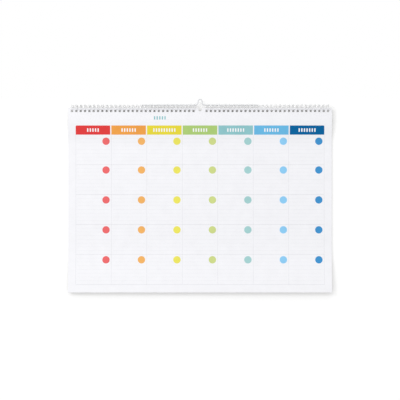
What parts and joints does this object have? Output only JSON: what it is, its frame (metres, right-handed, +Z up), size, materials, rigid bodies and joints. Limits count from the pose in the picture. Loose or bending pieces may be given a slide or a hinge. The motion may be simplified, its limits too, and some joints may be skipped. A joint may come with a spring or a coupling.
{
  "type": "wall calendar",
  "caption": "Landscape wall calendar on twin-loop wire: month sheets that turn up over the rings, a backing card and a swinging wire hanger.",
  "frame": {"origin": "seat of the nail, under the top of the hanger's loop", "axes": "+X to the reader's right along the binding, +Y into the wall, +Z up"},
  "size_m": [0.515, 0.0126, 0.378],
  "materials": {
    "hanger_wire": "light grey coated wire, semi-gloss",
    "binding_wire": "silver coated wire, satin",
    "card": "grey board, matt",
    "paper": "smooth uncoated white, matt",
    "ink_red": "red header bar and day dots, matt ink on paper",
    "ink_orange": "orange header bar and day dots, matt ink on paper",
    "ink_yellow": "yellow header bar and day dots, matt ink on paper",
    "ink_green": "light green header bar and day dots, matt ink on paper",
    "ink_teal": "pale teal header bar and day dots, matt ink on paper",
    "ink_sky_blue": "sky blue header bar and day dots, matt ink on paper",
    "ink_dark_blue": "dark blue header bar and day dots, matt ink on paper"
  },
  "bodies": {
    "hanger": {"hanger": "hanger_wire"},
    "back": {"backing_card": "card", "binding_wire_left": "binding_wire", "binding_wire_right": "binding_wire"},
    "sheets": {"month_sheets": "paper", "print_red": "ink_red", "print_orange": "ink_orange", "print_yellow": "ink_yellow", "print_green": "ink_green", "print_teal": "ink_teal", "print_sky_blue": "ink_sky_blue", "print_dark_blue": "ink_dark_blue"}
  },
  "joints": [
    {"name": "hanger_swing", "type": "hinge", "parent": "hanger", "child": "back", "pos_m": [0, 0, -0.0102], "axis": [-1, 0, 0], "range_deg": [-150, 30]},
    {"name": "sheets_turn", "type": "hinge", "parent": "back", "child": "sheets", "pos_m": [0, 0, -0.0145], "axis": [-1, 0, 0], "range_deg": [0, 140]}
  ]
}
